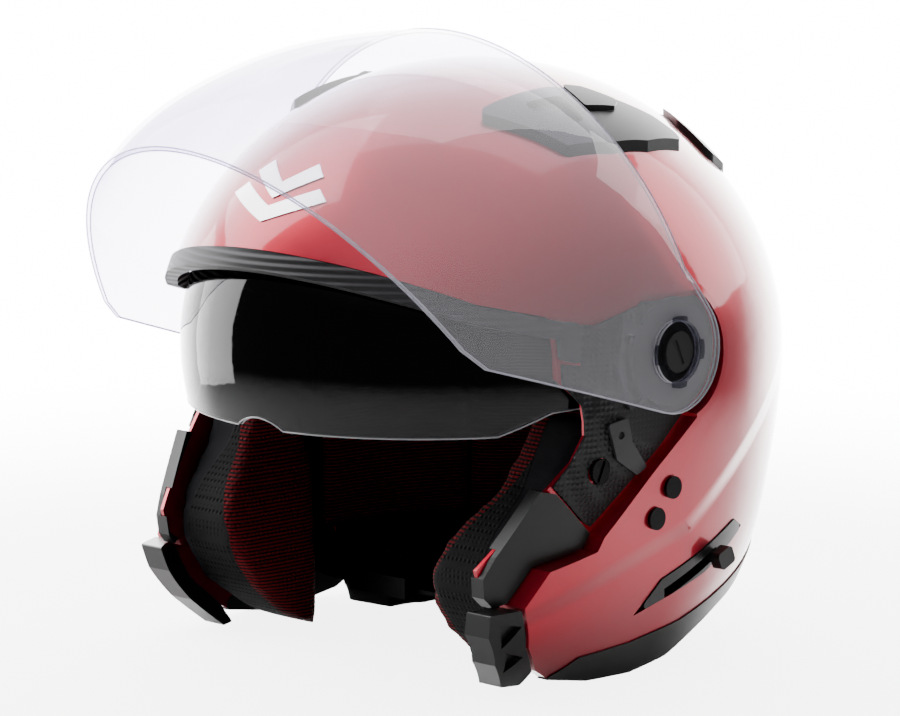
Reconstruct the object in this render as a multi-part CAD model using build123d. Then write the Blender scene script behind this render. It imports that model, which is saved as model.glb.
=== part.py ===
from build123d import *
import math
import os
from functools import lru_cache

# Open-face motorcycle helmet with a flip-up face shield and an inner drop-down sun shield.
# Millimetres. +X is the wearer's left, -Y is the front, +Z is up.
# The origin is on the surface the helmet stands on, under the middle of its box.
# The face shield is drawn closed and then turned up to its top stop, the stored pose.

BIG = 600.0                  # larger than the helmet, for cutting blocks

# Outer shell: level rings, elliptic over the crown and squarer at the front of the jaw.
SHELL_Y = 15.5               # middle of the shell, front to back
WIDEST_Z = 123.0             # level where the shell is widest
SHELL_HALF_WIDTH = 124.0
SHELL_FRONT = 139.5          # from the middle to the brow
SHELL_REAR = 141.0
SHELL_CROWN = 123.5          # from the widest level to the top
SHELL_SKIRT = 177.0          # depth at which the lower rings would close
JAW_Z = 77.5                 # widest level of the jaw
JAW_HALF_WIDTH = 119.0
JAW_HEIGHT = 135.0           # height over which the jaw would close
JAW_SQUARENESS = 5.0         # exponent of the front half of the lowest rings; 2 is an ellipse
SQUARE_FROM_Z = 115.0        # rings below this turn squarer,
SQUARE_BELOW_Z = 55.0        # down to here
RING_POINTS = 20
LOW_RINGS = (-12.0, 14.0, 38.0, 60.0, 82.0, 104.0)
CROWN_ANGLES = (0, 12, 24, 36, 48, 60, 71, 80, 87)
WALL = 4.0                   # shell thickness
RECESS_FLOOR = 1.6           # thickness of the floor of the side recess
RECESS_LIP = 3.0             # the shell turns in this wide round the recess

# Face shield: stacked ellipses, (height, half width, middle y, front y), in the closed position.
SHIELD_SECTIONS = (
    (32.5, 113.5, -4.5, -153.5),
    (54.5, 116.0, -4.5, -156.5),
    (77.5, 119.0, -0.5, -157.5),
    (102.5, 123.0, 5.5, -152.0),
    (133.5, 125.5, 9.5, -140.0),
    (160.5, 122.5, 11.5, -125.5),
    (177.5, 116.0, 13.5, -114.0),
    (192.5, 107.0, 15.5, -103.0),
    (207.5, 95.0, 15.5, -89.5),
)
SHIELD_FLAT_X = 122.2        # the arms are flat plates at this half width
SHIELD_THICKNESS = 2.0
SHIELD_PIVOT_Y = 9.5
SHIELD_PIVOT_Z = 134.0
SHIELD_OPENING_ANGLE = 53.0  # from closed up to the top stop
SHIELD_END_RADIUS = 25.0
SHIELD_HUB_RADIUS = 12.6     # hole in the arm that turns on the pivot boss
RUNNING_GAP = 0.06
CAP_RADIUS = 8.4             # slotted disc in the middle of the hub
RECESS_RADIUS = 28.0
CLIP_RADIUS = 26.4           # the detent pin runs on this circle about the pivot
PIN_RADIUS = 1.4
PIN_TOP_ANGLE = 15.0         # where the pin stands, above straight ahead, with the shield up

# Depths below the closed shield's outer face, for the pieces under its arms.
PLATE_TOP = 2.6
PLATE_BOTTOM = 4.1
PANEL_TOP = 4.4
PANEL_BOTTOM = 5.4
FLOOR_TOP = 6.0
RECESS_RISE = 2.7            # toward the brow the recess pieces lie this much shallower
COVER_TOP = 2.8              # the jaw cover's outer face
CLIP_TOP = 0.6               # depths of the seal's end clips under the helmet's own form
CLIP_BOTTOM = 2.4
COVER_EDGE = 9.0             # its front edge turns in this deep

# Sun shield: a spheroid turned about its own pivot axis, so it slides into the pocket.
SUN_PIVOT_Y = -4.5
SUN_PIVOT_Z = 127.5
SUN_RADIUS = 105.0
SUN_HALF_WIDTH = 113.0
SUN_THICKNESS = 2.0
POCKET_GAP = 2.5
POCKET_BACK_Y = 14.0
SUN_PIN_RADIUS = 3.0
SUN_END_RADIUS = 10.5
SUN_OUTLINE = ((-140.0, 101.0), (-62.0, 104.0), (-44.0, 113.0), (-4.5, 117.0), (-4.5, 138.0),
               (-40.0, 148.0), (-58.0, 164.7), (-94.6, 190.5), (-140.0, 222.5))
NOSE_NOTCH_Z = 84.0
NOSE_NOTCH_RADIUS = 22.7

# Impact foam.
FOAM_BOTTOM_Z = 34.0
FOAM_FACE = ((-200.0, 212.0), (-95.0, 172.0), (-60.0, 160.0), (-30.0, 152.0), (2.0, 140.0),
             (2.0, 34.0), (-200.0, 34.0))

# Head space and padding.
HEAD_HALF_WIDTH = 78.0
HEAD_HALF_LENGTH = 100.0
HEAD_CROWN = 84.0
COMFORT_THICKNESS = 6.7
FOAM_GAP = 7.2               # the impact foam starts this far outside the head space

# Neck roll: a rim that starts behind the lever's foot, and a bead that stands on the ground.
ROLL_RIM_Y = 27.0
ROLL_RIM_Z = 24.0
ROLL_Y = 20.0
ROLL_INSET = 14.0            # how far the bead is set in from the shell's form
NECK_TIGHTER = -24.0         # the neck opening is this much smaller than the head space

# Cheek pads: the side outline, as (y, z), and the line that the inner face follows, as (x, z).
CHEEK_OUTLINE = ((-30.0, 109.0), (-38.0, 95.0), (-46.0, 80.0), (-62.0, 65.0), (-71.0, 50.0),
                 (-69.0, 38.0), (-56.0, 20.0), (-38.0, 5.0), (-24.0, 0.0), (-12.0, 10.0),
                 (-9.0, 40.0), (-9.0, 104.0), (-20.0, 110.0))
CHEEK_INNER_EDGE = ((-10.0, -5.0), (51.0, -5.0), (53.0, 25.0), (59.0, 48.0), (66.0, 65.0),
                    (75.0, 80.0), (78.0, 115.0), (-10.0, 115.0))
CHEEK_HOLLOW_RADIUS = 100.0  # the pads are hollowed for the face by an upright cylinder
CHEEK_HOLLOW_Y = 60.0

# Sun shield lever on the wearer's left.
LEVER_TRAVEL = 28.0
LEVER_Y = 41.0
LEVER_Z = 45.5
SLOT_WIDTH = 5.0
KNOB_X = 119.5               # middles of the lever's knob, stem and foot
STEM_X = 111.0
FOOT_X = 103.5

RIVET_SPOTS = ((8.0, 79.0), (0.0, 67.0))
RIVET_HEAD_RADIUS = 4.6
RIVET_SHANK_RADIUS = 2.4
SCREW_SPOT = (-28.0, 89.0)
SCREW_RADIUS = 5.2
SCREW_HEAD = 1.6
KNURLS = 24
KNURL_RADIUS = 0.4
LATCH_PIVOT = (-20.0, 103.0)
LATCH_STUD_RADIUS = 1.5
TEETH = 5
TOOTH_STEP = 13.25           # degrees between the detent's teeth
BADGE_Z = 186.0              # lowest point of the brow badge

# Vents on the crown, left side, as (x, y) seen from above.
VENT_OUTLINE = ((53.0, -37.0), (55.0, 3.0), (60.0, 21.0), (72.0, 49.0), (81.0, 59.0),
                (86.5, 30.0), (86.5, 8.0), (83.0, -14.0))
VENT_WINDOW = ((60.0, -16.0), (61.5, 4.0), (76.0, 4.0), (74.0, -13.0))
VENT_SLIDER_OUTLINE = ((58.5, 8.0), (61.0, 17.0), (70.0, 30.0), (73.5, 24.0), (72.0, 8.0))
VENT_HEIGHT = 3.6
REAR_VENT_OUTLINE = ((40.0, 90.0), (58.0, 80.0), (72.0, 85.0), (68.0, 99.0), (52.0, 108.0),
                     (42.0, 104.0))
REAR_VENT_SLOT = ((47.0, 95.0), (61.0, 87.0), (64.0, 92.0), (51.0, 101.0))
REAR_VENT_HEIGHT = 2.6
SINK = 1.2                   # the vents' windows stop this far above the paint

# Chin strap, buckled and slack across the neck opening.
STRAP_Y = 4.0
STRAP_Z = 18.5
STRAP_WIDTH = 22.0
STRAP_THICKNESS = 2.0
BUCKLE_PIN_X = -46.0
BUCKLE_PIN_Z = STRAP_Z + 3.5
BUCKLE_PIN_RADIUS = 1.5
BUCKLE_ENDS = (-50.0, -16.0)
BUCKLE_WIDTH = 26.0
BUCKLE_WALL = 2.0
TONGUE_TEETH = 12
TONGUE_PITCH = 2.4


def block(x_low, x_high, y_low, y_high, z_low, z_high):
    """A box given by its six limits."""
    size = (x_high - x_low, y_high - y_low, z_high - z_low)
    middle = ((x_high + x_low) / 2, (y_high + y_low) / 2, (z_high + z_low) / 2)
    return Pos(*middle) * Box(*size)


def ellipsoid(half_width, half_length, half_height, y, z):
    """An ellipsoid centred on the helmet's middle plane."""
    return Pos(0, y, z) * scale(Sphere(1.0), by=(half_width, half_length, half_height))


def ring_sizes(z, inset):
    """Half width, front length, rear length and front exponent of the ring at height z."""
    rise = SHELL_CROWN - inset if z > WIDEST_Z else SHELL_SKIRT
    closing = math.sqrt(1 - ((z - WIDEST_Z) / rise) ** 2)
    above = z > WIDEST_Z
    half_width, front, rear = [
        (size - inset) * closing if above else size * closing - inset
        for size in (SHELL_HALF_WIDTH, SHELL_FRONT, SHELL_REAR)
    ]
    if not above:
        jaw = math.sqrt(1 - ((z - JAW_Z) / JAW_HEIGHT) ** 2)
        half_width = max(half_width, JAW_HALF_WIDTH * jaw - inset)
    down = min(max((SQUARE_FROM_Z - z) / (SQUARE_FROM_Z - SQUARE_BELOW_Z), 0), 1)
    exponent = 2 + (JAW_SQUARENESS - 2) * down * down * (3 - 2 * down)
    return half_width, front, rear, exponent


def shell_ring(z, inset):
    """One level ring of the helmet's form as a filled face."""
    half_width, front, rear, exponent = ring_sizes(z, inset)
    points = []
    for step in range(RING_POINTS):
        across = math.cos(2 * math.pi * step / RING_POINTS)
        along = math.sin(2 * math.pi * step / RING_POINTS)
        power = 2 / exponent if along < 0 else 1.0
        length = front if along < 0 else rear
        x = half_width * math.copysign(abs(across) ** power, across)
        y = SHELL_Y + length * math.copysign(abs(along) ** power, along)
        points.append((x, y))
    return Pos(0, 0, z) * make_face(Spline(*points, periodic=True))


@lru_cache(maxsize=None)
def skin(inset):
    """The helmet's outer form, shrunk by inset, as one lofted solid."""
    rings = [shell_ring(z, inset) for z in LOW_RINGS]
    for angle in CROWN_ANGLES:
        rise = (SHELL_CROWN - inset) * math.sin(math.radians(angle))
        rings.append(shell_ring(WIDEST_Z + rise, inset))
    return loft(rings)


@lru_cache(maxsize=None)
def shield_form(inset):
    """The closed face shield's outer form, shrunk by inset, as a solid."""
    rings = []
    for z, half_width, middle, front in SHIELD_SECTIONS:
        rings.append(Pos(0, middle, z) * Ellipse(half_width - inset, middle - front - inset))
    flat = SHIELD_FLAT_X - inset
    return loft(rings) & block(-flat, flat, -BIG, BIG, 0, BIG)


def side_prism(points, rounding=0.0, grow=0.0):
    """A bar right across the helmet whose outline, in (y, z), is the given polygon."""
    outline = Polygon(*points, align=None)
    if rounding:
        outline = fillet(outline.vertices(), rounding)
    if grow:
        outline = offset(outline, grow)
    return extrude(Plane.YZ * outline, amount=BIG, both=True)


def top_prism(points, rounding=0.0):
    """An upright bar whose outline, in (x, y), is the given polygon."""
    outline = Polygon(*points, align=None)
    if rounding:
        outline = fillet(outline.vertices(), rounding)
    return extrude(Pos(0, 0, WIDEST_Z) * outline, amount=BIG, dir=(0, 0, 1))


def skin_patch(outer, inner, outline):
    """The part of the helmet's skin between two insets that lies inside an outline prism."""
    return (skin(outer) & outline) - skin(inner)


def axle(y, z, radius, x_low, x_high):
    """A cylinder along X between two values of x."""
    middle = (x_low + x_high) / 2
    return Pos(middle, y, z) * Rot(0, 90, 0) * Cylinder(radius, x_high - x_low)


def on_circle(radius, angle, y=SHIELD_PIVOT_Y, z=SHIELD_PIVOT_Z):
    """A point (y, z) on a circle about a pivot; angle is measured up from straight ahead."""
    turn = math.radians(angle)
    return (y - radius * math.cos(turn), z + radius * math.sin(turn))


LEFT_HALF = block(0, BIG, -BIG, BIG, -BIG, BIG)

# The eye opening: brow line, temple, then down the front of the jaw.
BROW_LINE = ((-200.0, 217.0), (-95.5, 168.5), (-72.5, 157.5), (-46.0, 151.0))
JAW_FRONT_LINE = ((-66.5, 38.5), (-60.0, 21.0), (-49.0, 9.0), (-38.0, 3.0))
TEMPLE_LINE = ((-46.0, 127.0), (-36.0, 117.0), (-35.0, 104.0), (-40.0, 94.0),
               (-56.0, 78.0), (-78.0, 53.0), (-75.0, 43.0))
OPENING_CORNERS = ((-38.0, -40.0), (-200.0, -40.0))
EYE_OPENING = BROW_LINE + TEMPLE_LINE + JAW_FRONT_LINE + OPENING_CORNERS

# The recess for the shield arms and the black side pieces.
RECESS = ((-50.0, 151.5), (-29.0, 149.5), (-10.0, 155.0), (9.5, 157.5), (20.0, 106.5),
          (-2.0, 87.5), (-29.5, 63.0), (-32.5, 57.5), (-57.0, 52.5), (-66.5, 38.5),
          (-90.0, 38.5), (-100.0, 60.0), (-60.0, 100.0))

# The lower edge of the shell, front to back, and of the trim under it.
SKIRT_LINE = ((-40.0, 5.0), (-29.0, 12.0), (0.0, 14.0), (29.0, 19.0), (60.0, 28.0),
              (110.0, 42.0), (180.0, 46.0))
TRIM_LINE = ((180.0, 37.0), (110.0, 33.0), (60.0, 19.0), (43.0, 12.0), (26.0, 4.0),
             (5.0, 0.0), (-19.0, 0.0), (-40.0, 3.5))

SLIDER_OUTLINE = ((-2.0, 26.5), (9.0, 40.0), (26.0, 46.5), (56.0, 58.5), (65.0, 54.0),
                  (38.0, 39.0), (19.0, 33.0))
SLIDER_LEAN = math.degrees(math.atan2(13.0, 30.0))


def recess_prism(grow=0.0):
    """The side recess with its round end about the shield pivot."""
    rounded = axle(SHIELD_PIVOT_Y, SHIELD_PIVOT_Z, RECESS_RADIUS + grow, -BIG, BIG)
    rounded = rounded - block(-BIG, BIG, -BIG, BIG, 157.5 + grow, BIG)
    return side_prism(RECESS, grow=grow) + rounded


@lru_cache(maxsize=None)
def recess_form(depth):
    """All that is deeper than depth under the closed shield, and under the shell's own form."""
    return shield_form(depth) & skin(depth - RECESS_RISE)


def slider_slot(width, x_low, x_high):
    """The straight slot that the sun shield lever runs in."""
    run = LEVER_TRAVEL + 6.0
    bar = Rot(SLIDER_LEAN, 0, 0) * Box(x_high - x_low, run, width)
    lean = math.radians(SLIDER_LEAN)
    y = LEVER_Y + 3.0 - run / 2 * math.cos(lean)
    z = LEVER_Z + 3.0 * math.tan(lean) - run / 2 * math.sin(lean)
    return Pos((x_low + x_high) / 2, y, z) * bar


def make_outer_shell():
    """The painted shell, with the recess, its floor, and holes for rivets and the lever."""
    eye = side_prism(EYE_OPENING)
    below = side_prism(SKIRT_LINE + ((180.0, -40.0), (-60.0, -40.0)))
    wide_recess = recess_prism(RECESS_LIP)
    inner_floor = recess_form(FLOOR_TOP + RECESS_FLOOR)
    dome = skin(0.0) - (eye + wide_recess + below) - skin(WALL)
    floor = recess_form(FLOOR_TOP) & (wide_recess - eye)
    rim = skin(0.0) & (wide_recess - recess_prism() - eye)
    shell = dome + (floor - inner_floor) + (rim - inner_floor) - below
    for y, z in RIVET_SPOTS:
        shell = shell - axle(y, z, RIVET_SHANK_RADIUS + 0.1, -BIG, BIG)
    return shell - (side_prism(SLIDER_OUTLINE, grow=0.4) & LEFT_HALF)


def head_space(grow):
    """The room for the head: half an ellipsoid on an elliptic cylinder."""
    dome = ellipsoid(HEAD_HALF_WIDTH + grow, HEAD_HALF_LENGTH + grow, HEAD_CROWN + grow,
                     SHELL_Y, WIDEST_Z)
    dome = dome & block(-BIG, BIG, -BIG, BIG, WIDEST_Z, BIG)
    neck = Ellipse(HEAD_HALF_WIDTH + grow, HEAD_HALF_LENGTH + grow)
    return dome + extrude(Pos(0, SHELL_Y, -30) * neck, amount=WIDEST_Z + 30)


def sun_form(shrink):
    """The sun shield's spheroid about its pivot axis, shrunk by shrink."""
    return ellipsoid(SUN_HALF_WIDTH - shrink, SUN_RADIUS - shrink, SUN_RADIUS - shrink,
                     SUN_PIVOT_Y, SUN_PIVOT_Z)


def make_impact_foam():
    """The crushable foam, cut back in front for the sun shield's pocket."""
    under = block(-BIG, BIG, -BIG, BIG, -BIG, FOAM_BOTTOM_Z)
    behind = skin(WALL + 0.4) & block(-BIG, BIG, POCKET_BACK_Y, BIG, FOAM_BOTTOM_Z, BIG)
    ahead = skin(WALL + 0.4) & block(-BIG, BIG, -BIG, POCKET_BACK_Y, FOAM_BOTTOM_Z, BIG)
    ahead = (ahead - side_prism(FOAM_FACE)) & sun_form(SUN_THICKNESS + POCKET_GAP)
    inner_floor = recess_form(FLOOR_TOP + RECESS_FLOOR + 0.5)
    foam = (behind - side_prism(FOAM_FACE)) + ahead - head_space(FOAM_GAP)
    foam = foam - (recess_prism(RECESS_LIP + 0.6) - inner_floor) - under
    foam = foam - (side_prism(SLIDER_OUTLINE, grow=4.0) & block(98, BIG, -BIG, BIG, 0, BIG))
    for side in (1, -1):
        foam = foam - (Pos(side * 100.0, STRAP_Y, 63.0) * Box(32.0, STRAP_WIDTH + 3.0, 64.0))
    return foam


def make_crown_liner():
    """The soft cap inside the foam, over the top and round the back of the head."""
    liner = head_space(COMFORT_THICKNESS) - head_space(0.0)
    brow = ((-200.0, 205.0), (-92.0, 172.0), (-60.0, 160.0), (-30.0, 152.0), (2.0, 140.0),
            (30.0, 122.0), (79.0, 122.0), (79.0, 34.0), (200.0, 34.0), (200.0, -40.0),
            (-200.0, -40.0))
    return liner - side_prism(brow)


def make_side_liner():
    """The wearer's left ear panel: a curved pad against the foam."""
    pad = head_space(COMFORT_THICKNESS) - head_space(0.0)
    outline = ((4.0, 36.0), (4.0, 136.0), (30.0, 118.0), (78.0, 118.0), (78.0, 36.0))
    return pad & side_prism(outline) & LEFT_HALF


def make_cheek_pad():
    """The wearer's left cheek pad: a thick cushion, wider at the foot, hollowed for the face."""
    limit = COVER_EDGE + 1.0
    inner_edge = Plane.XZ * Polygon(*CHEEK_INNER_EDGE, align=None)
    inward = extrude(inner_edge, amount=BIG, both=True)
    room = side_prism(CHEEK_OUTLINE) & LEFT_HALF
    pad = (skin(limit + 1.0) & (room - inward)) & shield_form_low(limit)
    face = Pos(0, CHEEK_HOLLOW_Y, 0) * Cylinder(CHEEK_HOLLOW_RADIUS, BIG)
    return pad - face


def shield_form_low(inset):
    """The shield's form carried straight down to the floor, to limit what is inside the jaw."""
    z, half_width, middle, front = SHIELD_SECTIONS[0]
    foot = Ellipse(half_width - inset, middle - front - inset)
    return shield_form(inset) + extrude(Pos(0, middle, -10) * foot, amount=z + 10)


def make_neck_roll():
    """The padded roll along the lower rear edge: a rim under the foam and a bead below it."""
    rim = skin(WALL + 3.5) & block(-BIG, BIG, ROLL_RIM_Y, BIG, ROLL_RIM_Z, FOAM_BOTTOM_Z - 0.5)
    bead = skin(ROLL_INSET) & block(-BIG, BIG, ROLL_Y, BIG, 0, ROLL_RIM_Z + 4.0)
    return (rim - head_space(-1.0)) + (bead - head_space(NECK_TIGHTER))


def make_gasket():
    """The rubber seal round the brow."""
    strip = ((-200.0, 216.0), (-95.5, 167.8), (-72.5, 156.8), (-46.0, 150.3), (-46.0, 143.0),
             (-74.0, 149.5), (-98.0, 160.0), (-200.0, 207.0))
    return skin_patch(-1.8, WALL - 0.2, side_prism(strip))


def make_gasket_clip():
    """The wearer's left clip that holds the end of the seal."""
    outline = ((-45.7, 150.0), (-37.0, 149.0), (-38.0, 133.0), (-45.7, 135.0))
    clip = skin_patch(CLIP_TOP, CLIP_BOTTOM, side_prism(outline, rounding=1.5) & LEFT_HALF)
    return clip & shield_form(PLATE_TOP)


def make_trim():
    """The black moulding along the shell's lower edge."""
    return skin_patch(-0.6, WALL + 0.2, side_prism(SKIRT_LINE + TRIM_LINE))


def shield_outline():
    """The closed shield seen from the side: level lower edge, long arm, round end."""
    tip = on_circle(SHIELD_END_RADIUS, 90)
    low = on_circle(SHIELD_END_RADIUS, -127)
    lower_edge = ((-200.0, 54.5), (-62.0, 54.5), (-50.0, 57.5), low)
    upper_edge = (tip, (-14.0, 158.0), (-104.0, 197.5), (-200.0, 240.0))
    return lower_edge + upper_edge


def raised(shape):
    """Turns a closed-shield shape up to the stored pose about the shield's pivot."""
    pivot = Axis((0, SHIELD_PIVOT_Y, SHIELD_PIVOT_Z), (-1, 0, 0))
    return shape.rotate(pivot, SHIELD_OPENING_ANGLE)


def make_face_shield():
    """The clear polycarbonate shield, turned up."""
    sheet = shield_form(0.0) - shield_form(SHIELD_THICKNESS)
    ends = axle(SHIELD_PIVOT_Y, SHIELD_PIVOT_Z, SHIELD_END_RADIUS, -BIG, BIG)
    shield = sheet & (side_prism(shield_outline()) + ends)
    shield = shield - axle(SHIELD_PIVOT_Y, SHIELD_PIVOT_Z, SHIELD_HUB_RADIUS, -BIG, BIG)
    return raised(shield & block(-BIG, BIG, -BIG, SHIELD_PIVOT_Y + 40, 0, BIG))


def make_detent_pins():
    """Small steel pins in the shield's arms, which click along the toothed arcs."""
    y, z = on_circle(CLIP_RADIUS, PIN_TOP_ANGLE)
    inner = SHIELD_FLAT_X - PLATE_BOTTOM + 0.5
    pin = axle(y, z, PIN_RADIUS, inner, SHIELD_FLAT_X - SHIELD_THICKNESS)
    return Compound(children=[pin, mirror(pin, about=Plane.YZ)])


def make_pivot_boss():
    """The wearer's left hub that the shield's arm turns on, screwed to the recess floor."""
    y = SHIELD_PIVOT_Y
    z = SHIELD_PIVOT_Z
    foot = SHIELD_FLAT_X - PLATE_TOP
    boss = axle(y, z, SHIELD_HUB_RADIUS - RUNNING_GAP, foot, SHIELD_FLAT_X + 0.4)
    lugs = axle(y, z, SHIELD_HUB_RADIUS + 2.0, SHIELD_FLAT_X + 0.4, SHIELD_FLAT_X + 1.4)
    keep = block(0, BIG, y - 4, y + 4, z - 20, z + 20)
    keep = keep + block(0, BIG, y - 20, y + 20, z - 4, z + 4)
    ring = axle(y, z, SHIELD_HUB_RADIUS - RUNNING_GAP, SHIELD_FLAT_X + 0.4, SHIELD_FLAT_X + 1.4)
    cup = axle(y, z, CAP_RADIUS + 0.2, SHIELD_FLAT_X - 1.0, BIG)
    return boss + ring + (lugs & keep) - cup


def make_pivot_cap():
    """The wearer's left slotted disc in the middle of the hub."""
    y = SHIELD_PIVOT_Y
    z = SHIELD_PIVOT_Z
    disc = axle(y, z, CAP_RADIUS, SHIELD_FLAT_X - 0.9, SHIELD_FLAT_X + 0.7)
    slot = Pos(SHIELD_FLAT_X + 0.7, y, z) * Rot(25, 0, 0) * Box(1.4, 1.6, 11)
    return disc - slot


def layer(outer, inner):
    """The space between two depths below the closed shield's outer face, on the left side."""
    return (shield_form(outer) - shield_form(inner)) & LEFT_HALF


def make_base_plate():
    """The wearer's left plate with the toothed arc that the detent pin clicks along."""
    y = SHIELD_PIVOT_Y
    z = SHIELD_PIVOT_Z
    disc = axle(y, z, 22.0, 100, BIG)
    wing_points = [on_circle(9.0, 60), on_circle(33.0, 28), on_circle(33.0, -6),
                   on_circle(33.0, -40), on_circle(16.0, -70)]
    plate = disc + (side_prism(wing_points) & LEFT_HALF)
    track = axle(y, z, CLIP_RADIUS + PIN_RADIUS + 0.8, 100, BIG)
    track = track - axle(y, z, CLIP_RADIUS - PIN_RADIUS - 0.8, 100, BIG)
    span = [(y, z), on_circle(60.0, PIN_TOP_ANGLE + 5), on_circle(60.0, -12), on_circle(60.0, -43)]
    plate = plate - (track & side_prism(span))
    for step in range(TEETH):
        tooth_angle = PIN_TOP_ANGLE - TOOTH_STEP * step
        tooth_y, tooth_z = on_circle(CLIP_RADIUS + PIN_RADIUS + 1.0, tooth_angle)
        plate = plate - axle(tooth_y, tooth_z, 1.6, 100, BIG)
    return plate & layer(PLATE_TOP, PLATE_BOTTOM)


def make_release_latch():
    """The wearer's left lever that frees the shield's arm from the hub."""
    outline = ((-27.0, 108.0), (-17.0, 110.0), (-14.0, 100.0), (-8.0, 93.0), (-4.0, 88.5),
               (-9.0, 85.5), (-21.0, 93.0))
    plate = side_prism(outline, rounding=1.2) & LEFT_HALF
    y, z = LATCH_PIVOT
    hole = axle(y, z, LATCH_STUD_RADIUS + 0.1, 100, BIG)
    return (plate & layer(PLATE_TOP, PLATE_BOTTOM - 0.4)) - hole


def make_side_panel():
    """The wearer's left dimpled cover on the floor of the recess."""
    corners = ((-44.5, 149.0), (-29.0, 147.5), (-10.0, 153.0), (9.5, 155.5), (17.5, 108.0),
               (-4.0, 89.0), (-29.5, 66.6), (-33.6, 68.9), (-49.0, 84.3), (-42.0, 93.0),
               (-36.0, 104.0), (-37.0, 116.0), (-44.5, 125.0))
    flat = side_prism(corners)
    round_end = axle(SHIELD_PIVOT_Y, SHIELD_PIVOT_Z, RECESS_RADIUS - 2.0, 0, BIG)
    round_end = round_end - block(-BIG, BIG, -BIG, BIG, 155.0, BIG)
    outline = (flat + round_end) & LEFT_HALF
    panel = (recess_form(PANEL_TOP) & outline) - recess_form(PANEL_BOTTOM)
    y, z = LATCH_PIVOT
    top = shield_x(y, z) - PLATE_TOP - 0.6
    stud = axle(y, z, LATCH_STUD_RADIUS, top - 2.6, top)
    clip_room = side_prism(((-46, 152), (-36, 151), (-36.5, 132), (-46, 133)))
    screw_room = axle(*SCREW_SPOT, SCREW_RADIUS + 0.3, 0, BIG)
    return panel - clip_room - screw_room + stud


def make_panel_screws():
    """Knurled, slotted screws, one on each side panel."""
    y, z = SCREW_SPOT
    outer = shield_x(y, z) - PLATE_TOP - 0.6
    head = axle(y, z, SCREW_RADIUS, outer - SCREW_HEAD, outer)
    for step in range(KNURLS):
        knurl_y, knurl_z = on_circle(SCREW_RADIUS, 360 / KNURLS * step, y, z)
        head = head - axle(knurl_y, knurl_z, KNURL_RADIUS, 0, BIG)
    screw = head - (Pos(outer, y, z) * Rot(-25, 0, 0) * Box(1.6, 1.5, 9))
    return Compound(children=[screw, mirror(screw, about=Plane.YZ)])


def make_jaw_cover():
    """The wearer's left black cover at the lower corner of the eye opening."""
    outline = side_prism(((-56.0, 83.5), (-49.0, 82.0), (-35.0, 68.0), (-31.0, 64.0),
                          (-34.0, 58.5), (-57.5, 53.3), (-67.0, 39.5), (-72.5, 37.8),
                          (-76.5, 42.0), (-77.5, 50.0), (-73.0, 58.5)))
    face = layer(COVER_TOP, PANEL_BOTTOM) & outline
    turned_edge = layer(COVER_TOP, COVER_EDGE) & outline & side_prism(EYE_OPENING, grow=-0.3)
    return (face + turned_edge) & skin(0.8)


def make_jaw_vent():
    """The wearer's left black tip at the foot of the jaw, with its wedge-shaped facets."""
    outline = ((-80.5, 36.8), (-67.5, 37.8), (-61.0, 21.0), (-50.0, 8.6), (-50.0, 2.0),
               (-58.0, 2.0), (-70.0, 14.0), (-78.5, 27.0))
    tip = skin_patch(0.5, 9.5, side_prism(outline, 1.0) & LEFT_HALF)
    facets = side_prism(((-76.0, 33.0), (-66.0, 31.0), (-72.0, 22.0)))
    facets = facets + side_prism(((-69.0, 20.0), (-60.0, 17.0), (-64.0, 10.0)))
    return tip - skin_patch(-1.0, 3.5, facets & LEFT_HALF)


def make_sun_shield():
    """The tinted inner shield, lowered, with arms that reach its pivots."""
    sheet = sun_form(0.0) - sun_form(SUN_THICKNESS)
    ends = axle(SUN_PIVOT_Y, SUN_PIVOT_Z, SUN_END_RADIUS, -BIG, BIG)
    shield = sheet & (side_prism(SUN_OUTLINE) + ends)
    shield = shield & block(-BIG, BIG, -BIG, SUN_PIVOT_Y + 12, 0, BIG)
    shield = shield - (Pos(0, -100, NOSE_NOTCH_Z) * Rot(90, 0, 0) * Cylinder(NOSE_NOTCH_RADIUS, 80))
    return shield - axle(SUN_PIVOT_Y, SUN_PIVOT_Z, SUN_PIN_RADIUS + RUNNING_GAP, -BIG, BIG)


def make_sun_pivots():
    """The two pins that the sun shield turns on, in the recess floors."""
    pin = axle(SUN_PIVOT_Y, SUN_PIVOT_Z, SUN_PIN_RADIUS, SUN_HALF_WIDTH - 4.0,
               SHIELD_FLAT_X - FLOOR_TOP - 1.0)
    head = axle(SUN_PIVOT_Y, SUN_PIVOT_Z, SUN_PIN_RADIUS + 2.0, SUN_HALF_WIDTH - 5.0,
                SUN_HALF_WIDTH - 3.0)
    both = pin + head
    return Compound(children=[both, mirror(both, about=Plane.YZ)])


def make_slider_bezel():
    """The black frame round the sun shield lever's slot, on the wearer's left."""
    frame = skin_patch(-0.6, WALL - 0.2, side_prism(SLIDER_OUTLINE, rounding=2.0) & LEFT_HALF)
    return frame - slider_slot(SLOT_WIDTH, 90, 140)


def lever_axis():
    """The direction the lever moves to raise the sun shield: forward and down the slot."""
    lean = math.radians(SLIDER_LEAN)
    return (0.0, -math.cos(lean), -math.sin(lean))


def make_slider_lever():
    """The lever that works the sun shield: knob, stem and a foot behind the bezel."""
    lean = Rot(SLIDER_LEAN, 0, 0)
    knob = Pos(KNOB_X, LEVER_Y, LEVER_Z) * lean * Box(5.0, 9.0, 7.5)
    knob = fillet(knob.edges().filter_by(Axis.X), 1.8)
    stem = Pos(STEM_X, LEVER_Y, LEVER_Z) * lean * Box(15.0, SLOT_WIDTH - 1.0, SLOT_WIDTH - 1.0)
    foot = Pos(FOOT_X, LEVER_Y, LEVER_Z) * lean * Box(3.0, 12.0, 9.0)
    return knob + stem + foot


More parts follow.
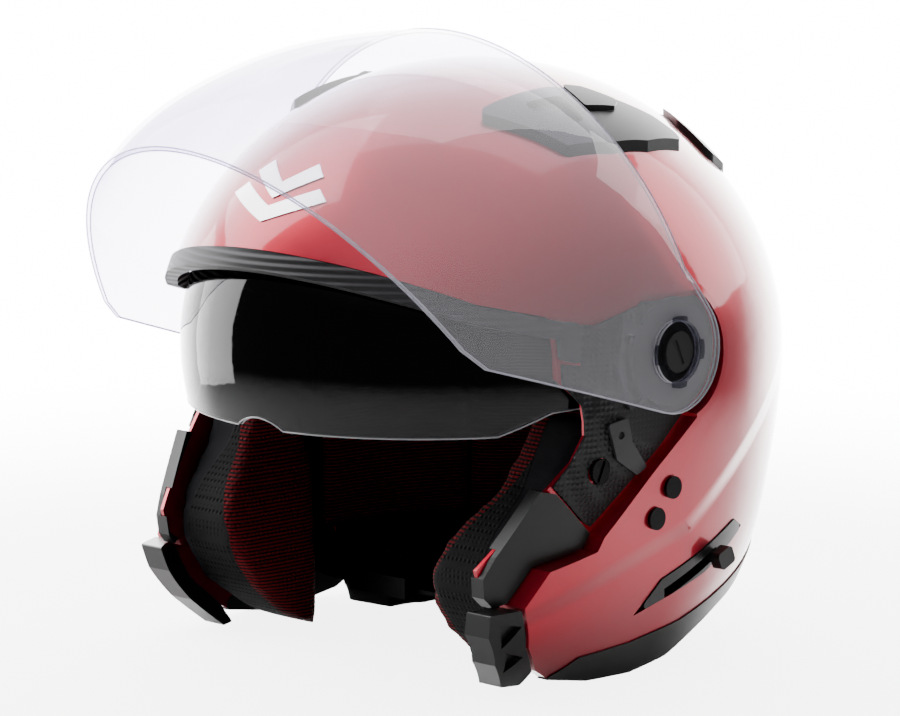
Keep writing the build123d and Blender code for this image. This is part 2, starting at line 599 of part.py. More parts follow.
def make_top_vent():
    """The wearer's left top vent: a low cowl with a sunk window."""
    cowl = skin_patch(-VENT_HEIGHT, -0.1, top_prism(VENT_OUTLINE, rounding=2.5))
    window = top_prism(VENT_WINDOW, rounding=2.0)
    return cowl - skin_patch(-VENT_HEIGHT - 1.0, -SINK, window)


def make_vent_slider():
    """The wearer's left vent shutter, a tapered tab on the cowl."""
    outline = top_prism(VENT_SLIDER_OUTLINE, rounding=1.5)
    return skin_patch(-VENT_HEIGHT - 2.2, -VENT_HEIGHT - 0.6, outline)


def make_rear_vent():
    """The wearer's left exhaust vent, high on the back."""
    cowl = skin_patch(-REAR_VENT_HEIGHT, -0.1, top_prism(REAR_VENT_OUTLINE, rounding=4.0))
    slot = top_prism(REAR_VENT_SLOT, rounding=1.5)
    return cowl - skin_patch(-REAR_VENT_HEIGHT - 1.0, -SINK, slot)


def make_rivets():
    """The strap rivets, two a side, with domed heads."""
    rivets = []
    for side in (1, -1):
        for y, z in RIVET_SPOTS:
            surface = skin_x(y, z)
            shank = axle(y, z, RIVET_SHANK_RADIUS, surface - 10.0, surface)
            head = axle(y, z, RIVET_HEAD_RADIUS, surface + 0.6, surface + 2.0)
            neck = axle(y, z, RIVET_SHANK_RADIUS, surface - 1, surface + 1)
            rivet = shank + neck + head
            rivets.append(rivet if side == 1 else mirror(rivet, about=Plane.YZ))
    return Compound(children=rivets)


def skin_x(y, z):
    """Half width of the helmet's outer form at (y, z)."""
    half_width, front, rear, exponent = ring_sizes(z, 0.0)
    if y > SHELL_Y:
        return half_width * math.sqrt(1 - ((y - SHELL_Y) / rear) ** 2)
    return half_width * (1 - ((SHELL_Y - y) / front) ** exponent) ** (1 / exponent)


def shield_x(y, z):
    """Half width of the closed shield's outer face at (y, z)."""
    for low, high in zip(SHIELD_SECTIONS, SHIELD_SECTIONS[1:]):
        if low[0] <= z <= high[0]:
            share = (z - low[0]) / (high[0] - low[0])
            _, half_width, middle, front = [a + (b - a) * share for a, b in zip(low, high)]
            surface = half_width * math.sqrt(1 - ((y - middle) / (middle - front)) ** 2)
            return min(surface, SHIELD_FLAT_X)


def make_emblem():
    """A plain brow badge: two nested chevrons, as thin decals on the paint."""
    marks = []
    for rise, reach in ((0.0, 27.0), (9.0, 19.0)):
        foot = BADGE_Z + rise
        points = ((0.0, foot), (reach, foot + 9.0), (reach - 6.0, foot + 13.5), (0.0, foot + 6.0),
                  (6.0 - reach, foot + 13.5), (-reach, foot + 9.0))
        face = Plane.XZ * Polygon(*points, align=None)
        bar = extrude(face, amount=BIG)
        marks.append(skin_patch(-0.5, -0.15, bar))
    return Compound(children=marks)


def webbing(points):
    """A flat strap of the strap's width whose edge, in (x, z), follows the points."""
    band = trace(FilletPolyline(*points, radius=9), STRAP_THICKNESS)
    return Pos(0, STRAP_Y, 0) * extrude(Plane.XZ * band, amount=STRAP_WIDTH / 2, both=True)


def make_strap_left():
    """The long half of the chin strap, slack across the neck opening."""
    return webbing(((109.5, 84), (106, 62), (92, 38), (58, STRAP_Z + 1), (12.5, STRAP_Z)))


def make_strap_right():
    """The short half of the chin strap, which carries the buckle."""
    return webbing(((-109.5, 84), (-106, 62), (-92, 38), (-72, STRAP_Z + 1), (-50.5, STRAP_Z)))


def make_ratchet_tongue():
    """The toothed tongue on the long strap, pushed into the buckle."""
    top = STRAP_Z + 0.8
    tongue = block(-43, 12.3, STRAP_Y - 8, STRAP_Y + 8, STRAP_Z - 1.0, top)
    notch = Rot(0, 30, 0) * Box(1.2, 12, 1.2)
    for step in range(TONGUE_TEETH):
        tongue = tongue - (Pos(-40 + TONGUE_PITCH * step, STRAP_Y, top + 0.2) * notch)
    return tongue


def make_buckle_body():
    """The buckle's channel: a floor and two walls."""
    half = BUCKLE_WIDTH / 2
    body = block(*BUCKLE_ENDS, STRAP_Y - half, STRAP_Y + half, STRAP_Z - 3.5, STRAP_Z - 1.5)
    for y in (STRAP_Y - half, STRAP_Y + half - BUCKLE_WALL):
        body = body + block(*BUCKLE_ENDS, y, y + BUCKLE_WALL, STRAP_Z - 3.5, STRAP_Z + 5.5)
    return body - buckle_rod(BUCKLE_PIN_RADIUS, BUCKLE_WIDTH + 4.0)


def buckle_rod(radius, length):
    """A cylinder on the axis of the buckle's pin."""
    return Pos(BUCKLE_PIN_X, STRAP_Y, BUCKLE_PIN_Z) * Rot(90, 0, 0) * Cylinder(radius, length)


def make_buckle_pin():
    """The pin through the buckle's walls."""
    return buckle_rod(BUCKLE_PIN_RADIUS, BUCKLE_WIDTH)


def make_buckle_lever():
    """The release lever that turns on the buckle's pin."""
    width = BUCKLE_WIDTH - 2 * BUCKLE_WALL - 1.2
    lever = block(BUCKLE_PIN_X - 1.0, -18, STRAP_Y - width / 2, STRAP_Y + width / 2,
                  BUCKLE_PIN_Z - 0.9, BUCKLE_PIN_Z + 0.9)
    eye = buckle_rod(BUCKLE_PIN_RADIUS + 1.2, width)
    return lever + eye - buckle_rod(BUCKLE_PIN_RADIUS + RUNNING_GAP, BUCKLE_WIDTH + 4.0)


ON_BOTH_SIDES = {
    "side_liner": make_side_liner,
    "cheek_pad": make_cheek_pad,
    "gasket_clip": make_gasket_clip,
    "pivot_boss": make_pivot_boss,
    "pivot_cap": make_pivot_cap,
    "shield_base_plate": make_base_plate,
    "release_latch": make_release_latch,
    "side_panel": make_side_panel,
    "jaw_cover": make_jaw_cover,
    "jaw_vent": make_jaw_vent,
    "top_vent": make_top_vent,
    "vent_slider": make_vent_slider,
    "rear_vent": make_rear_vent,
}
SINGLE = {
    "face_shield": make_face_shield,
    "outer_shell": make_outer_shell,
    "impact_foam": make_impact_foam,
    "crown_liner": make_crown_liner,
    "neck_roll": make_neck_roll,
    "eyeport_gasket": make_gasket,
    "bottom_trim": make_trim,
    "detent_pins": make_detent_pins,
    "panel_screws": make_panel_screws,
    "sun_shield": make_sun_shield,
    "sun_shield_pivots": make_sun_pivots,
    "slider_bezel": make_slider_bezel,
    "slider_lever": make_slider_lever,
    "strap_rivets": make_rivets,
    "strap_left": make_strap_left,
    "strap_right": make_strap_right,
    "ratchet_tongue": make_ratchet_tongue,
    "buckle_body": make_buckle_body,
    "buckle_pin": make_buckle_pin,
    "buckle_lever": make_buckle_lever,
    "brow_emblem": make_emblem,
}


def main():
    os.makedirs("parts", exist_ok=True)
    for name, make in ON_BOTH_SIDES.items():
        left = make()
        export_step(left, f"parts/{name}_left.step")
        export_step(mirror(left, about=Plane.YZ), f"parts/{name}_right.step")
    for name, make in SINGLE.items():
        export_step(make(), f"parts/{name}.step")


main()
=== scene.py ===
import math
import bmesh
import bpy
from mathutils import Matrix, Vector


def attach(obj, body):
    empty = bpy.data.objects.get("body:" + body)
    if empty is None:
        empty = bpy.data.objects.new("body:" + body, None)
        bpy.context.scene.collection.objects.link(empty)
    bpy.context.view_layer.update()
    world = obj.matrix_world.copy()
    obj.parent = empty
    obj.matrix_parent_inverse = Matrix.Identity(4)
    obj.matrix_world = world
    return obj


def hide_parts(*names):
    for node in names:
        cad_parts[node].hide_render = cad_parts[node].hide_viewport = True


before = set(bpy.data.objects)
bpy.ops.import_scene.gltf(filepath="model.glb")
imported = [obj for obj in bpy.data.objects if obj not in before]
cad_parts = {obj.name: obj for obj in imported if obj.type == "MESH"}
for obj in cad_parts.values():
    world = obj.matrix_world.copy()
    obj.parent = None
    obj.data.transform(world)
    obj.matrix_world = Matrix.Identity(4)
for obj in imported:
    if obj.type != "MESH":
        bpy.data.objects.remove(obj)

# Camera, matched to the photograph's view. Metres.
CAMERA_AT = Vector((1.1218, -1.1176, 0.3472))
CAMERA_AIM = Vector((-0.0052, 0.0075, 0.1188))
CAMERA_LENS = 151.6
SENSOR_WIDTH = 36.0

# Stage. Metres and watts.
FLOOR_REACH = 6.0
FLOOR_FADE = (0.25, 0.8)                 # the floor thins out between these distances
FLOOR_SHARE = 0.68                       # how much of the backdrop the floor hides at most
WORLD_FRONT = 0.1                        # brightness round the camera
WORLD_BACK = 16.0                        # brightness of the backdrop
WORLD_TOP = 1.0                          # brightness overhead
BACK_WAY = (-0.7, 0.7)                   # x and y of the way to the backdrop
BACK_EDGE = (0.5, 0.97)                  # the backdrop brightens as a direction nears that way
TOP_EDGE = (0.3, 0.95)                   # and overhead as it nears straight up
LIGHT_AIM = (0, 0, 0.12)
LIGHTS = (                               # name, place, width and height, power
    ("top", (-0.3, 0.6, 1.6), (1.6, 1.2), 24),
    ("rim", (0.5, 1.4, 0.8), (0.8, 1.0), 12),
    ("card", (-1.0, -0.35, 1.15), (1.1, 1.1), 34),
    ("left", (-1.25, -0.4, 0.2), (0.7, 0.8), 16),
)

# The fold in the shell's side, as (y, z) points. Metres.
FOLD_FRONT = (-0.046, 0.045)
FOLD_CORNER = (0.019, 0.065)
FOLD_BACK = (0.085, 0.113)
FOLD_WIDTH = 0.009
FOLD_DEPTH = 0.0016

# Where the cheek pads change cloth, by distance from the helmet's middle plane. Metres.
CHEEK_INNER_X = 0.0612                   # red knit nearer the middle than this,
CHEEK_SPREAD_Z = 0.045                   # which above this level
CHEEK_SPREAD = 0.55                      # moves out by this share of the height gained
CHEEK_OUTER_X = 0.0875                   # plain cloth farther out than this
CLOTH_CHANGE = 0.0008                    # width of the change from one cloth to the next

RIM_RADIUS = 0.00035                     # rounded lip of the two shields
CUT_ANGLE = math.radians(45)             # faces of a sheet that meet more sharply make a cut edge

CLOTH_PRESSURE = 4.0                     # blows the padding up
CLOTH_FRAMES = 20

WHITE = (1, 1, 1, 1)
FLOOR_WHITE = (0.9, 0.9, 0.9, 1)
CANDY_RED = (0.55, 0.001, 0.026, 1)
# painted shade: the dark red that the paint's base colour turns to where the surface is seen edge on
PAINTED_SHADE_RED = (0.06, 0.0, 0.002, 1)
KNIT_RED = (0.14, 0.002, 0.006, 1)
CLOTH_BLACK = (0.003, 0.003, 0.003, 1)
MESH_PIT = (0.001, 0.001, 0.001, 1)
MESH_THREAD = (0.009, 0.009, 0.0095, 1)
CHARCOAL = (0.009, 0.009, 0.011, 1)
LEATHER_GREY = (0.005, 0.005, 0.0055, 1)
FOAM_GREY = (0.006, 0.006, 0.0065, 1)
SATIN_BLACK = (0.005, 0.005, 0.005, 1)
RUBBER_BLACK = (0.012, 0.012, 0.013, 1)
TRIM_BLACK = (0.004, 0.004, 0.004, 1)
CAP_BLACK = (0.02, 0.02, 0.02, 1)
PANEL_GREY = (0.009, 0.009, 0.0095, 1)
PLATE_GREY = (0.022, 0.022, 0.024, 1)
DARK_METAL = (0.012, 0.012, 0.0125, 1)
STEEL = (0.62, 0.61, 0.6, 1)
FOIL_SILVER = (0.75, 0.75, 0.77, 1)

# Clear plastics: the tint seen square on, and seen edge on.
CLEAR_TINTS = ((0.985, 0.98, 0.99, 1), (0.74, 0.72, 0.86, 1))
SMOKE_TINTS = ((0.2, 0.2, 0.21, 1), (0.05, 0.05, 0.055, 1))
RIM_TINTS = ((0.62, 0.6, 0.75, 1), (0.42, 0.4, 0.55, 1))
BOSS_TINTS = ((0.7, 0.7, 0.74, 1), (0.3, 0.3, 0.36, 1))

LEFT_RIGHT = ("left", "right")


# ---- material helpers -------------------------------------------------------------------

def material(name):
    """A new node material, its node tree and its principled shader."""
    made = bpy.data.materials.new(name)
    made.use_nodes = True
    return made, made.node_tree, made.node_tree.nodes["Principled BSDF"]


def put(node, **values):
    """Set sockets of a node by name; underscores stand for spaces."""
    for name, value in values.items():
        node.inputs[name.replace("_", " ")].default_value = value


def add(tree, kind, **values):
    """A new node with some of its sockets set."""
    node = tree.nodes.new(kind)
    put(node, **values)
    return node


def object_place(tree):
    """Coordinates fixed to the piece, in metres."""
    return add(tree, "ShaderNodeTexCoord").outputs["Object"]


def split_xyz(tree, vector):
    """The x, y and z sockets of a vector socket."""
    node = tree.nodes.new("ShaderNodeSeparateXYZ")
    tree.links.new(vector, node.inputs[0])
    return node.outputs["X"], node.outputs["Y"], node.outputs["Z"]


def calc(tree, operation, first, second=0.0):
    """A math node on two sockets or numbers."""
    node = tree.nodes.new("ShaderNodeMath")
    node.operation = operation
    for socket, value in zip(node.inputs, (first, second)):
        if isinstance(value, (int, float)):
            socket.default_value = value
        else:
            tree.links.new(value, socket)
    return node.outputs[0]


def soft_step(tree, value, low, high):
    """0 below low, 1 above high, smooth between."""
    node = tree.nodes.new("ShaderNodeMapRange")
    node.interpolation_type = "SMOOTHSTEP"
    tree.links.new(value, node.inputs["Value"])
    put(node, From_Min=low, From_Max=high)
    return node.outputs["Result"]


def blend_colors(tree, share, low, high):
    """Mix two colours or colour sockets by a share socket."""
    node = tree.nodes.new("ShaderNodeMix")
    node.data_type = "RGBA"
    tree.links.new(share, node.inputs["Factor"])
    for socket, value in ((node.inputs[6], low), (node.inputs[7], high)):
        if isinstance(value, tuple):
            socket.default_value = value
        else:
            tree.links.new(value, socket)
    return node.outputs[2]


def relief(tree, height, shader, depth, strength=1.0, socket="Normal"):
    """Turn a height from 0 to 1 into bumps of the given depth in metres."""
    node = add(tree, "ShaderNodeBump", Strength=strength, Distance=depth)
    tree.links.new(height, node.inputs["Height"])
    tree.links.new(node.outputs["Normal"], shader.inputs[socket])
    return node


def grain(tree, scale, detail=3.0):
    """Fine noise over the piece."""
    node = add(tree, "ShaderNodeTexNoise", Scale=scale, Detail=detail)
    tree.links.new(object_place(tree), node.inputs["Vector"])
    return node.outputs["Fac"]


def cells(tree, scale):
    """Round cells over the piece, for dimples and mesh holes."""
    node = add(tree, "ShaderNodeTexVoronoi", Scale=scale, Randomness=0.0)
    tree.links.new(object_place(tree), node.inputs["Vector"])
    return node.outputs["Distance"]


def level_bands(tree, scale, **values):
    """0 to 1 across level bands, stacked up the piece."""
    node = add(tree, "ShaderNodeTexWave", Scale=scale, **values)
    node.bands_direction = "Z"
    tree.links.new(object_place(tree), node.inputs["Vector"])
    return node.outputs["Fac"]


# ---- hard materials ----------------------------------------------------------------------

def height_over_line(tree, place, start, end):
    """How far a point stands above a line through two (y, z) points, in metres."""
    _, y, z = place
    run, rise = end[0] - start[0], end[1] - start[1]
    length = math.hypot(run, rise)
    up = calc(tree, "MULTIPLY", calc(tree, "SUBTRACT", z, start[1]), run / length)
    along = calc(tree, "MULTIPLY", calc(tree, "SUBTRACT", y, start[0]), rise / length)
    return calc(tree, "SUBTRACT", up, along)


def shell_fold(tree):
    """Height of the fold that runs back from the jaw and up behind the ear, from 0 to 1."""
    place = split_xyz(tree, object_place(tree))
    forward = height_over_line(tree, place, FOLD_FRONT, FOLD_CORNER)
    upward = height_over_line(tree, place, FOLD_CORNER, FOLD_BACK)
    over = calc(tree, "MINIMUM", forward, upward)
    return soft_step(tree, over, -FOLD_WIDTH, 0.0)


def candy_paint():
    """Metallic red under a clear coat, with painted shade: the base colour darkens where the surface turns
    away from the view.
    """
    made, tree, shader = material("candy_paint")
    # Painted shade for the paint's flop: the base colour goes from candy red toward the dark red as the
    # surface turns edge on to the view.
    facing = add(tree, "ShaderNodeLayerWeight", Blend=0.35).outputs["Facing"]
    tree.links.new(blend_colors(tree, facing, CANDY_RED, PAINTED_SHADE_RED), shader.inputs["Base Color"])
    put(shader, Metallic=0.75, Roughness=0.36, Coat_Weight=1.0, Coat_Roughness=0.06, Coat_IOR=1.45)
    fold = relief(tree, shell_fold(tree), shader, FOLD_DEPTH, socket="Coat Normal")
    flakes = relief(tree, grain(tree, 2600.0), shader, 0.00002, 0.35)
    tree.links.new(fold.outputs["Normal"], flakes.inputs["Normal"])
    return made


def mix_shaders(tree, share, low, high):
    """Mix two shader nodes by a share, which is a number or a socket."""
    node = tree.nodes.new("ShaderNodeMixShader")
    if isinstance(share, float):
        put(node, Fac=share)
    else:
        tree.links.new(share, node.inputs["Fac"])
    tree.links.new(low.outputs[0], node.inputs[1])
    tree.links.new(high.outputs[0], node.inputs[2])
    return node


def clear_sheet(name, tints, gloss, haze=0.0, index=1.5):
    """Thin clear plastic: see-through, a little hazy, tinted where it is seen edge on."""
    made, tree, shader = material(name)
    tree.nodes.remove(shader)
    edge_on = add(tree, "ShaderNodeLayerWeight", Blend=0.42).outputs["Facing"]
    through = tree.nodes.new("ShaderNodeBsdfTransparent")
    tree.links.new(blend_colors(tree, edge_on, *tints), through.inputs["Color"])
    inside = tree.nodes.new("ShaderNodeNewGeometry").outputs["Backfacing"]
    fresnel = add(tree, "ShaderNodeFresnel", IOR=index).outputs["Fac"]
    share = calc(tree, "MULTIPLY", fresnel, calc(tree, "SUBTRACT", 1.0, inside))
    veil = mix_shaders(tree, haze, through, add(tree, "ShaderNodeBsdfDiffuse", Color=WHITE))
    mix = mix_shaders(tree, share, veil, add(tree, "ShaderNodeBsdfGlossy", Roughness=gloss))
    tree.links.new(mix.outputs[0], tree.nodes["Material Output"].inputs["Surface"])
    return made


def dimpled_plastic():
    """Dark plastic with a close pattern of small dimples."""
    made, tree, shader = material("dimpled_plastic")
    put(shader, Base_Color=PANEL_GREY, Roughness=0.5, Specular_IOR_Level=0.3)
    dimple = soft_step(tree, cells(tree, 420.0), 0.15, 0.6)
    relief(tree, dimple, shader, 0.0005, 0.9)
    return made


def grained_plastic(name, color, roughness):
    """Moulded plastic with a fine leather-like grain."""
    made, tree, shader = material(name)
    put(shader, Base_Color=color, Roughness=roughness, Specular_IOR_Level=0.35)
    relief(tree, grain(tree, 1800.0), shader, 0.00006, 0.5)
    return made


def ribbed_rubber():
    """Matt black rubber with ribs that run along the brow."""
    made, tree, shader = material("ribbed_rubber")
    put(shader, Base_Color=RUBBER_BLACK, Roughness=0.55, Specular_IOR_Level=0.35)
    relief(tree, level_bands(tree, 110.0), shader, 0.0006, 0.8)
    return made


def satin_rubber():
    """Smooth black edge moulding."""
    made, tree, shader = material("satin_rubber")
    put(shader, Base_Color=TRIM_BLACK, Roughness=0.38, Specular_IOR_Level=0.3)
    relief(tree, grain(tree, 900.0), shader, 0.00004, 0.4)
    return made


def brushed_metal(name, color, roughness):
    """Metal with faint brush marks."""
    made, tree, shader = material(name)
    put(shader, Base_Color=color, Metallic=1.0, Roughness=roughness)
    relief(tree, grain(tree, 3000.0, 1.0), shader, 0.00003, 0.3)
    return made


def woven_webbing():
    """Narrow black strap weave."""
    made, tree, shader = material("woven_webbing")
    put(shader, Base_Color=CLOTH_BLACK, Roughness=0.85, Specular_IOR_Level=0.15)
    weave = add(tree, "ShaderNodeTexChecker", Scale=900.0).outputs["Fac"]
    relief(tree, weave, shader, 0.0003, 0.7)
    return made


def foam_beads():
    """Dark bead foam."""
    made, tree, shader = material("foam_beads")
    put(shader, Base_Color=FOAM_GREY, Roughness=0.9, Specular_IOR_Level=0.15)
    relief(tree, cells(tree, 260.0), shader, 0.0006, 0.6)
    return made


def silver_foil():
    """The badge's bright foil."""
    made, tree, shader = material("silver_foil")
    put(shader, Base_Color=FOIL_SILVER, Metallic=0.9, Roughness=0.22, Coat_Weight=0.6)
    relief(tree, grain(tree, 1500.0), shader, 0.00002, 0.3)
    return made


# ---- cloth materials ---------------------------------------------------------------------

def knit_pattern(tree):
    """The narrow ribs of the knit: their height from 0 to 1, and their red and black."""
    bands = level_bands(tree, 210.0, Distortion=0.6, Detail=1.0)
    return bands, blend_colors(tree, soft_step(tree, bands, 0.35, 0.65), CLOTH_BLACK, KNIT_RED)


def ribbed_knit():
    """Red and black knit with narrow ribs."""
    made, tree, shader = material("ribbed_knit")
    bands, color = knit_pattern(tree)
    tree.links.new(color, shader.inputs["Base Color"])
    put(shader, Roughness=0.9, Specular_IOR_Level=0.12)
    relief(tree, bands, shader, 0.0009, 0.9)
    return made


def cheek_zones(tree):
    """Two shares from 0 to 1: the knit by the ear, and the plain cloth toward the shell."""
    x, _, z = split_xyz(tree, object_place(tree))
    across = calc(tree, "ABSOLUTE", x)
    gained = calc(tree, "SUBTRACT", z, CHEEK_SPREAD_Z)
    spread = calc(tree, "MAXIMUM", calc(tree, "MULTIPLY", gained, CHEEK_SPREAD), 0.0)
    inner = calc(tree, "SUBTRACT", across, spread)
    past_knit = soft_step(tree, inner, CHEEK_INNER_X, CHEEK_INNER_X + CLOTH_CHANGE)
    plain = soft_step(tree, across, CHEEK_OUTER_X, CHEEK_OUTER_X + CLOTH_CHANGE)
    return calc(tree, "SUBTRACT", 1.0, past_knit), plain


def cheek_cloth():
    """Spacer mesh toward the face, plain cloth toward the shell, red knit by the ear."""
    made, tree, shader = material("cheek_cloth")
    ear, plain = cheek_zones(tree)
    holes = soft_step(tree, cells(tree, 430.0), 0.12, 0.5)
    color = blend_colors(tree, holes, MESH_PIT, MESH_THREAD)
    color = blend_colors(tree, ear, color, knit_pattern(tree)[1])
    color = blend_colors(tree, plain, color, CHARCOAL)
    tree.links.new(color, shader.inputs["Base Color"])
    put(shader, Roughness=0.88, Specular_IOR_Level=0.12)
    mesh_bumps = calc(tree, "MULTIPLY", holes, calc(tree, "SUBTRACT", 1.0, plain))
    fine = calc(tree, "MULTIPLY", grain(tree, 2400.0), 0.3)
    relief(tree, calc(tree, "ADD", mesh_bumps, fine), shader, 0.0007, 0.9)
    return made


def leatherette():
    """Soft dark grey leatherette."""
    made, tree, shader = material("leatherette")
    put(shader, Base_Color=LEATHER_GREY, Roughness=0.6, Specular_IOR_Level=0.2)
    pores = calc(tree, "ADD", cells(tree, 900.0), grain(tree, 400.0))
    relief(tree, pores, shader, 0.0002, 0.6)
    return made


# ---- hard pieces -------------------------------------------------------------------------

def both(name):
    """The names of a node that comes once for each side."""
    return [f"{name}_{side}" for side in LEFT_RIGHT]


def dress(names, look):
    """Give CAD nodes a material."""
    for name in names:
        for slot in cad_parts[name].material_slots:
            slot.material = look


def dress_plastic_and_rubber():
    """Materials of the opaque mouldings, the foam and the webbing."""
    satin = grained_plastic("satin_plastic", SATIN_BLACK, 0.34)
    plate = grained_plastic("plate_plastic", PLATE_GREY, 0.42)
    vent = grained_plastic("vent_plastic", RUBBER_BLACK, 0.4)
    dress(["outer_shell"], candy_paint())
    dress(["impact_foam"], foam_beads())
    dress(["eyeport_gasket"], ribbed_rubber())
    dress(["bottom_trim"], satin_rubber())
    dress(both("side_panel"), dimpled_plastic())
    dress(both("jaw_cover") + both("jaw_vent") + both("vent_slider"), satin)
    dress(["slider_bezel", "slider_lever"], satin)
    dress(both("top_vent") + both("rear_vent"), vent)
    dress(both("shield_base_plate") + both("release_latch") + both("gasket_clip"), plate)
    dress(both("pivot_cap"), grained_plastic("cap_plastic", CAP_BLACK, 0.25))
    dress(["strap_left", "strap_right"], woven_webbing())


def dress_metal():
    """Materials of the pins, rivets, screws, buckle and badge."""
    dark_metal = brushed_metal("dark_metal", DARK_METAL, 0.35)
    dress(["detent_pins", "sun_shield_pivots"], brushed_metal("bright_steel", STEEL, 0.25))
    dress(["ratchet_tongue", "buckle_body", "buckle_pin", "buckle_lever"], dark_metal)
    dress(["strap_rivets", "panel_screws"], dark_metal)
    dress(["brow_emblem"], silver_foil())


def dress_clear_parts():
    """Materials of the two shields and the pivot bosses, and the shields' rounded rims."""
    dress(["face_shield"], clear_sheet("clear_shield", CLEAR_TINTS, 0.02, haze=0.11))
    dress(["sun_shield"], clear_sheet("smoke_shield", SMOKE_TINTS, 0.04, index=1.35))
    dress(both("pivot_boss"), clear_sheet("boss_clear", BOSS_TINTS, 0.05))
    rim_look = clear_sheet("rim_clear", RIM_TINTS, 0.05, haze=0.25)
    edge_bead("face_shield", rim_look, RIM_RADIUS)
    edge_bead("sun_shield", rim_look, RIM_RADIUS)


def cut_edges(source, name):
    """A mesh of only the edges along which a sheet was cut, in world coordinates."""
    cut = bmesh.new()
    cut.from_mesh(source.data)
    cut.transform(source.matrix_world)
    bmesh.ops.remove_doubles(cut, verts=cut.verts, dist=1e-5)
    sharp = {edge for edge in cut.edges if edge.is_manifold and edge.calc_face_angle() > CUT_ANGLE}
    bmesh.ops.delete(cut, geom=cut.faces[:], context="FACES_ONLY")
    soft = [edge for edge in cut.edges if edge not in sharp]
    bmesh.ops.delete(cut, geom=soft, context="EDGES")
    mesh = bpy.data.meshes.new(name)
    cut.to_mesh(mesh)
    cut.free()
    return mesh


def edge_bead(node, look, radius):
    """A fine rounded lip along the cut edges of a thin sheet, so that its outline shows."""
    name = f"{node}_rim"
    bead = bpy.data.objects.new(name, cut_edges(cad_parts[node], name))
    bpy.context.scene.collection.objects.link(bead)
    with bpy.context.temp_override(active_object=bead, object=bead, selected_objects=[bead],
                                   selected_editable_objects=[bead]):
        bpy.ops.object.convert(target="CURVE")
    bead.data.bevel_depth = radius
    bead.data.bevel_resolution = 2
    bead.data.materials.append(look)
    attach(bead, node)


# ---- soft pieces -------------------------------------------------------------------------

def settled_mesh(obj):
    """The mesh an object shows with its modifiers, as a new mesh."""
    graph = bpy.context.evaluated_depsgraph_get()
    graph.update()
    return bpy.data.meshes.new_from_object(obj.evaluated_get(graph))


def swap_mesh(obj, mesh):
    """Give an object a finished mesh in place of its modifiers."""
    obj.modifiers.clear()
    obj.data = mesh


def even_skin(obj, voxel):
    """Rebuild the mesh with even small faces, as cloth needs."""
    remesh = obj.modifiers.new("even", "REMESH")
    remesh.mode = "VOXEL"
    remesh.voxel_size = voxel
    smooth = obj.modifiers.new("smooth", "SMOOTH")
    smooth.iterations = 3
    swap_mesh(obj, settled_mesh(obj))


def shrink(obj, inset):
    """Draw the skin in, to leave room for the swelling."""
    normals = [v.normal.copy() for v in obj.data.vertices]
    for vertex, normal in zip(obj.data.vertices, normals):
        vertex.co -= normal * inset


def puff(obj, most):
    """Inflate the skin as cloth, and cap how far each point moves."""
    rest = [v.co.copy() for v in obj.data.vertices]
    cloth = obj.modifiers.new("cloth", "CLOTH")
    cloth.settings.use_pressure = True
    cloth.settings.uniform_pressure_force = CLOTH_PRESSURE
    cloth.settings.tension_stiffness = 20
    cloth.settings.bending_stiffness = 1.5
    cloth.settings.effector_weights.gravity = 0.0
    cloth.point_cache.frame_start = 1
    cloth.point_cache.frame_end = CLOTH_FRAMES
    for number in range(1, CLOTH_FRAMES + 1):
        bpy.context.scene.frame_set(number)
    blown = settled_mesh(obj)
    for vertex, start in zip(blown.vertices, rest):
        shift = vertex.co - start
        if shift.length > most:
            vertex.co = start + shift.normalized() * most
    swap_mesh(obj, blown)
    bpy.context.scene.frame_set(1)


def round_off(obj):
    """Subdivide the skin once and shade it smooth."""
    subdivision = obj.modifiers.new("round", "SUBSURF")
    subdivision.levels = 1
    swap_mesh(obj, settled_mesh(obj))
    for polygon in obj.data.polygons:
        polygon.use_smooth = True


def cushion(node, look, voxel=0.004, inset=0.0008, most=0.0012):
    """A padded piece that stands for a plain CAD node."""
    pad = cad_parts[node].copy()
    pad.data = pad.data.copy()
    pad.name = f"{node}_padding"
    pad.parent = None
    pad.matrix_world.identity()
    bpy.context.scene.collection.objects.link(pad)
    even_skin(pad, voxel)
    shrink(pad, inset)
    puff(pad, most)
    round_off(pad)
    pad.data.materials.clear()
    pad.data.materials.append(look)
    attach(pad, "helmet")
    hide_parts(node)


def make_padding():
    """All the soft lining of the helmet."""
    knit = ribbed_knit()
    cloth = cheek_cloth()
    for side in LEFT_RIGHT:
        cushion(f"cheek_pad_{side}", cloth)
        cushion(f"side_liner_{side}", knit, voxel=0.0025, most=0.0008)
    cushion("crown_liner", knit, voxel=0.003, most=0.0008)
    cushion("neck_roll", leatherette())


# ---- stage -------------------------------------------------------------------------------

def area_light(name, place, size, power):
    """A soft rectangular light that points at the helmet."""
    lamp = bpy.data.lights.new(name, "AREA")
    lamp.shape = "RECTANGLE"
    lamp.size, lamp.size_y = size
    lamp.energy = power
    holder = bpy.data.objects.new(name, lamp)
    holder.location = place
    way = Vector(LIGHT_AIM) - Vector(place)
    holder.rotation_euler = way.to_track_quat("-Z", "Y").to_euler()
    bpy.context.scene.collection.objects.link(holder)


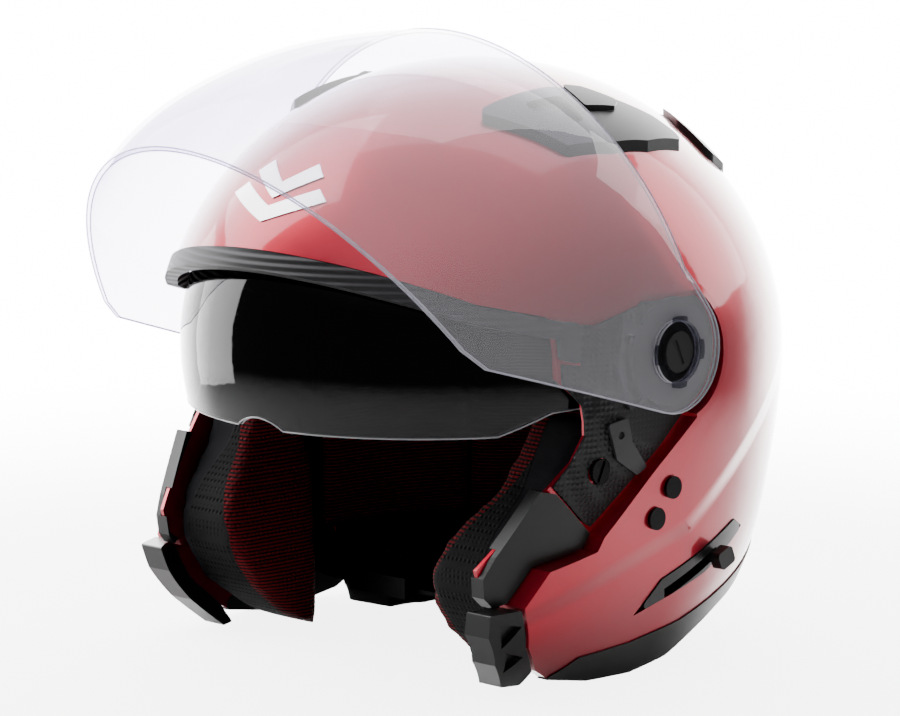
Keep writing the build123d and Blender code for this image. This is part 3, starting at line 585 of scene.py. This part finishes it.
def floor_look():
    """A pale matt floor that thins out into the white backdrop away from the helmet."""
    made, tree, shader = material("floor_look")
    put(shader, Base_Color=FLOOR_WHITE, Roughness=0.8, Specular_IOR_Level=0.1)
    distance = tree.nodes.new("ShaderNodeVectorMath")
    distance.operation = "LENGTH"
    tree.links.new(object_place(tree), distance.inputs[0])
    fade = calc(tree, "SUBTRACT", 1.0, soft_step(tree, distance.outputs["Value"], *FLOOR_FADE))
    tree.links.new(calc(tree, "MULTIPLY", fade, FLOOR_SHARE), shader.inputs["Alpha"])
    return made


def set_floor():
    """A wide level sheet under the helmet."""
    mesh = bpy.data.meshes.new("floor")
    turns = ((-1, -1), (1, -1), (1, 1), (-1, 1))
    corners = [(x * FLOOR_REACH, y * FLOOR_REACH, 0) for x, y in turns]
    mesh.from_pydata(corners, [], [(0, 1, 2, 3)])
    floor = bpy.data.objects.new("floor", mesh)
    bpy.context.scene.collection.objects.link(floor)
    mesh.materials.append(floor_look())


def set_world():
    """A bright backdrop behind the helmet that falls off toward the camera."""
    world = bpy.data.worlds.new("studio")
    bpy.context.scene.world = world
    world.use_nodes = True
    tree = world.node_tree
    x, y, z = split_xyz(tree, add(tree, "ShaderNodeTexCoord").outputs["Generated"])
    away = calc(tree, "ADD", calc(tree, "MULTIPLY", x, BACK_WAY[0]), calc(tree, "MULTIPLY", y, BACK_WAY[1]))
    behind = calc(tree, "MULTIPLY", soft_step(tree, away, *BACK_EDGE), WORLD_BACK)
    overhead = calc(tree, "MULTIPLY", soft_step(tree, z, *TOP_EDGE), WORLD_TOP)
    glow = calc(tree, "ADD", calc(tree, "ADD", behind, overhead), WORLD_FRONT)
    sky = tree.nodes["Background"]
    put(sky, Color=WHITE)
    tree.links.new(glow, sky.inputs["Strength"])


def set_camera():
    """The photograph's camera."""
    lens = bpy.data.cameras.new("camera")
    lens.lens = CAMERA_LENS
    lens.sensor_width = SENSOR_WIDTH
    camera = bpy.data.objects.new("camera", lens)
    camera.location = CAMERA_AT
    camera.rotation_euler = (CAMERA_AIM - CAMERA_AT).to_track_quat("-Z", "Y").to_euler()
    bpy.context.scene.collection.objects.link(camera)
    bpy.context.scene.camera = camera


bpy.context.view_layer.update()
dress_plastic_and_rubber()
dress_metal()
dress_clear_parts()
make_padding()
set_floor()
set_world()
for light in LIGHTS:
    area_light(*light)
set_camera()
